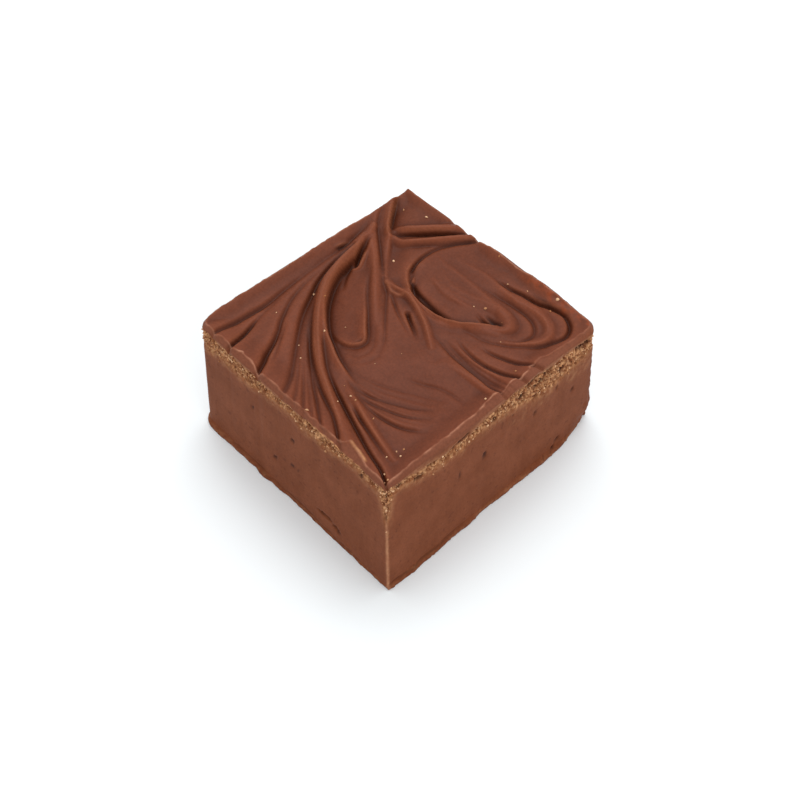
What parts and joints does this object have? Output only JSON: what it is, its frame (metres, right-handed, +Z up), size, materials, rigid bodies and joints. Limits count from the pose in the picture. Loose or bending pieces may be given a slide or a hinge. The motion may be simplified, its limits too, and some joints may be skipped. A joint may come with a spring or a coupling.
{
  "type": "chocolate fudge piece",
  "caption": "Square knife-cut block of milk chocolate fudge with a spatula-swirled top, straight cut sides and a flat base.",
  "frame": {"origin": "middle of the flat base", "axes": "+Z up out of the swirled top; +X and -Y look out of the neighbouring cut faces that meet at the front corner, where the deepest swirl groove runs out"},
  "size_m": [0.0609, 0.065, 0.0343],
  "materials": {
    "fudge": "satin milk-chocolate fudge, smoother and darker on the swirled top, with a paler crumbly line under the cut rim"
  },
  "bodies": {
    "root": {"fudge_block": "fudge"}
  },
  "joints": []
}
